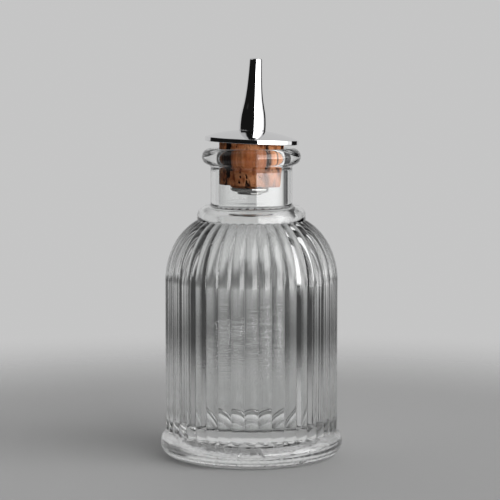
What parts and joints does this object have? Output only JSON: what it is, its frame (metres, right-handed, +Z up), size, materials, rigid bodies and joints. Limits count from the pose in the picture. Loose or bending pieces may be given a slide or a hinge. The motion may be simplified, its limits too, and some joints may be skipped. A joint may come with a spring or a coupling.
{
  "type": "bitters bottle",
  "caption": "Ribbed glass bottle with a domed shoulder, narrow neck and round lip, closed by a tapered cork that carries a domed plate and a slender pouring spout.",
  "frame": {"origin": "middle of the base ring's underside, on the surface that the bottle stands on", "axes": "+Z up along the bottle's axis, -Y towards the front, +X to the right, the way the stopper leans"},
  "size_m": [0.0618, 0.0618, 0.1344],
  "materials": {
    "glass": "clear moulded glass, polished",
    "cork": "natural cork with dark pores",
    "chrome": "bright chrome plate",
    "tube_steel": "bright metal, a little duller than the plate"
  },
  "bodies": {
    "bottle": {"bottle": "glass"},
    "stopper": {"cork": "cork", "dome_plate": "chrome", "spout": "chrome", "stem_tube": "tube_steel", "end_ring": "tube_steel"}
  },
  "joints": [
    {"name": "stopper_lift", "type": "slide", "parent": "bottle", "child": "stopper", "axis": [0.0488, 0, 0.9988], "range_m": [0, 0.02]}
  ]
}
